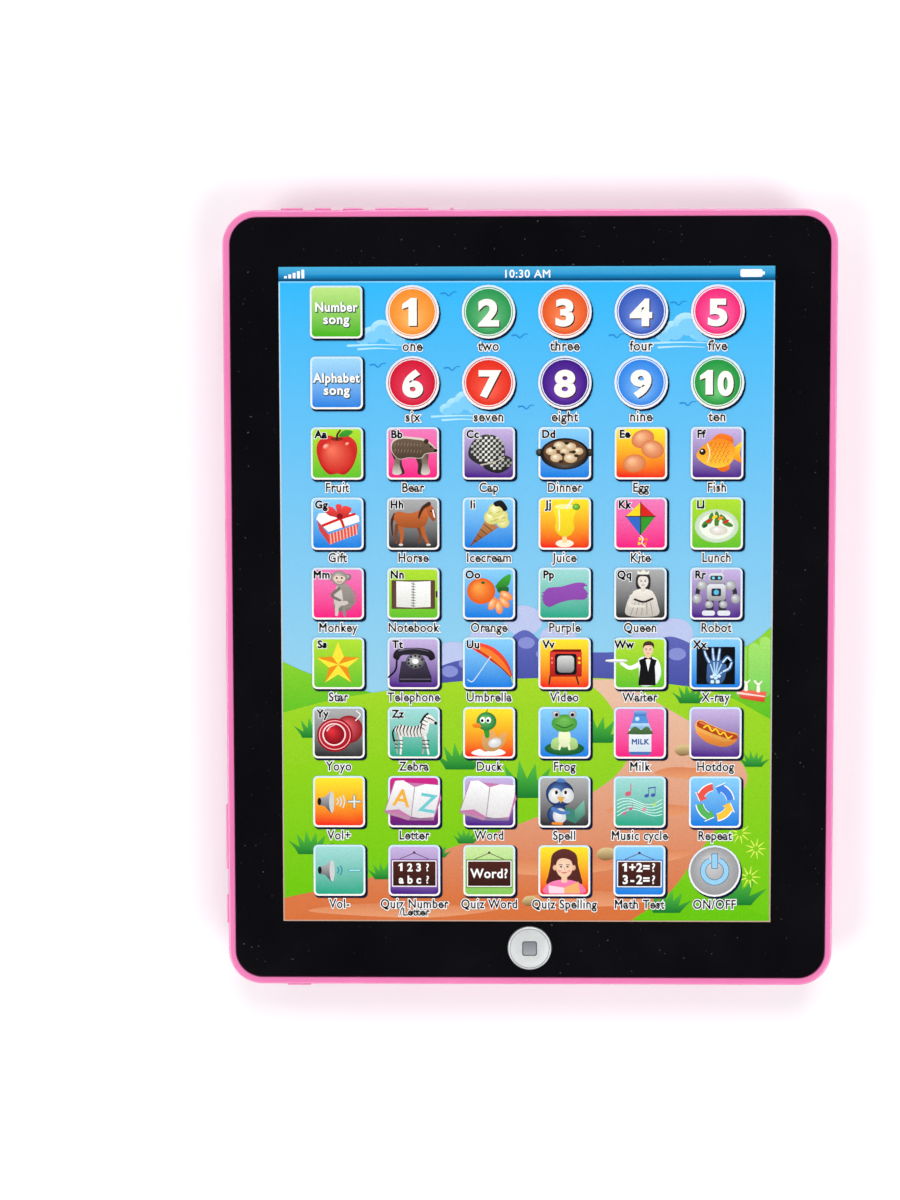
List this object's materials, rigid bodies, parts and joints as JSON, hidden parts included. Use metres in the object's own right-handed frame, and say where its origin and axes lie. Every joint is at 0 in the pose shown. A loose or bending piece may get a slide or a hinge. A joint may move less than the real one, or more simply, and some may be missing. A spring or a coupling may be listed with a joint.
{
  "type": "kids toy tablet",
  "caption": "Slim toy learning tablet: pink moulded case, black-bordered printed touch keypad, round push button, back battery bay, speaker and rubber feet.",
  "frame": {"origin": "middle of the footprint, on the plane that the four feet stand on", "axes": "+X to the user's right, +Y towards the tablet's top end, +Z out of the printed front"},
  "size_m": [0.1907, 0.2442, 0.0241],
  "materials": {
    "pink_abs": "gloss",
    "black_plastic": "satin",
    "printed_film": "gloss print with a black border",
    "clear_film": "satin",
    "silver_paint": "satin silver",
    "grey_rubber": "matt",
    "dome_rubber": "matt",
    "board_green": "solder mask",
    "epoxy_black": "satin",
    "steel": "satin",
    "nickel": "bright",
    "ferrite": "matt",
    "paper_cone": "matt",
    "foam_black": "matt",
    "cell_sleeve": "printed sleeve, no lettering",
    "red_wire": "satin",
    "black_wire": "satin",
    "resistor_tan": "satin"
  },
  "bodies": {
    "case": {"rear_shell": "pink_abs", "front_panel": "black_plastic", "printed_overlay": "printed_film", "membrane_lower": "clear_film", "membrane_spacer": "clear_film", "membrane_upper": "clear_film", "membrane_tail": "clear_film", "button_dome": "dome_rubber", "main_board": "board_green", "chip_blob": "epoxy_black", "capacitor": "steel", "tail_clamp": "black_plastic", "speaker_gasket": "foam_black", "speaker_basket": "steel", "speaker_magnet": "ferrite", "speaker_wire_1": "red_wire", "speaker_wire_2": "black_wire", "battery_wire_1": "black_wire", "battery_wire_2": "red_wire", "resistor_1": "resistor_tan", "board_screw_1": "steel", "clamp_screw_1": "steel", "resistor_2": "resistor_tan", "board_screw_2": "steel", "clamp_screw_2": "steel", "cell_1": "cell_sleeve", "contact_spring_1": "nickel", "cell_2": "cell_sleeve", "contact_spring_2": "nickel", "cell_3": "cell_sleeve", "contact_spring_3": "nickel", "contact_plate_1": "nickel", "foot_1": "grey_rubber", "contact_plate_2": "nickel", "foot_2": "grey_rubber", "contact_plate_3": "nickel", "foot_3": "grey_rubber", "contact_plate_4": "nickel", "foot_4": "grey_rubber", "case_screw_1": "steel", "case_screw_2": "steel", "case_screw_3": "steel", "case_screw_4": "steel", "case_screw_5": "steel", "case_screw_6": "steel"},
    "home_button": {"home_button": "silver_paint"},
    "battery_door": {"battery_door": "pink_abs"},
    "door_screw": {"door_screw": "steel"},
    "speaker_cone": {"speaker_cone": "paper_cone"}
  },
  "joints": [
    {"name": "home_button_press", "type": "slide", "parent": "case", "child": "home_button", "axis": [0, 0, -1], "range_m": [0, 0.0008], "stiffness_N_per_m": 900, "deforming": ["button_dome"]},
    {"name": "battery_door_hinge", "type": "hinge", "parent": "case", "child": "battery_door", "pos_m": [0, 0.0595, 0.00115], "axis": [1, 0, 0], "range_deg": [0, 100]},
    {"name": "door_screw_turn", "type": "hinge", "parent": "battery_door", "child": "door_screw", "pos_m": [0, 0.0015, 0.0013], "axis": [0, 0, 1], "continuous": true},
    {"name": "speaker_cone_travel", "type": "slide", "parent": "case", "child": "speaker_cone", "axis": [0, 0, 1], "range_m": [-0.0004, 0.0004], "stiffness_N_per_m": 1500}
  ]
}
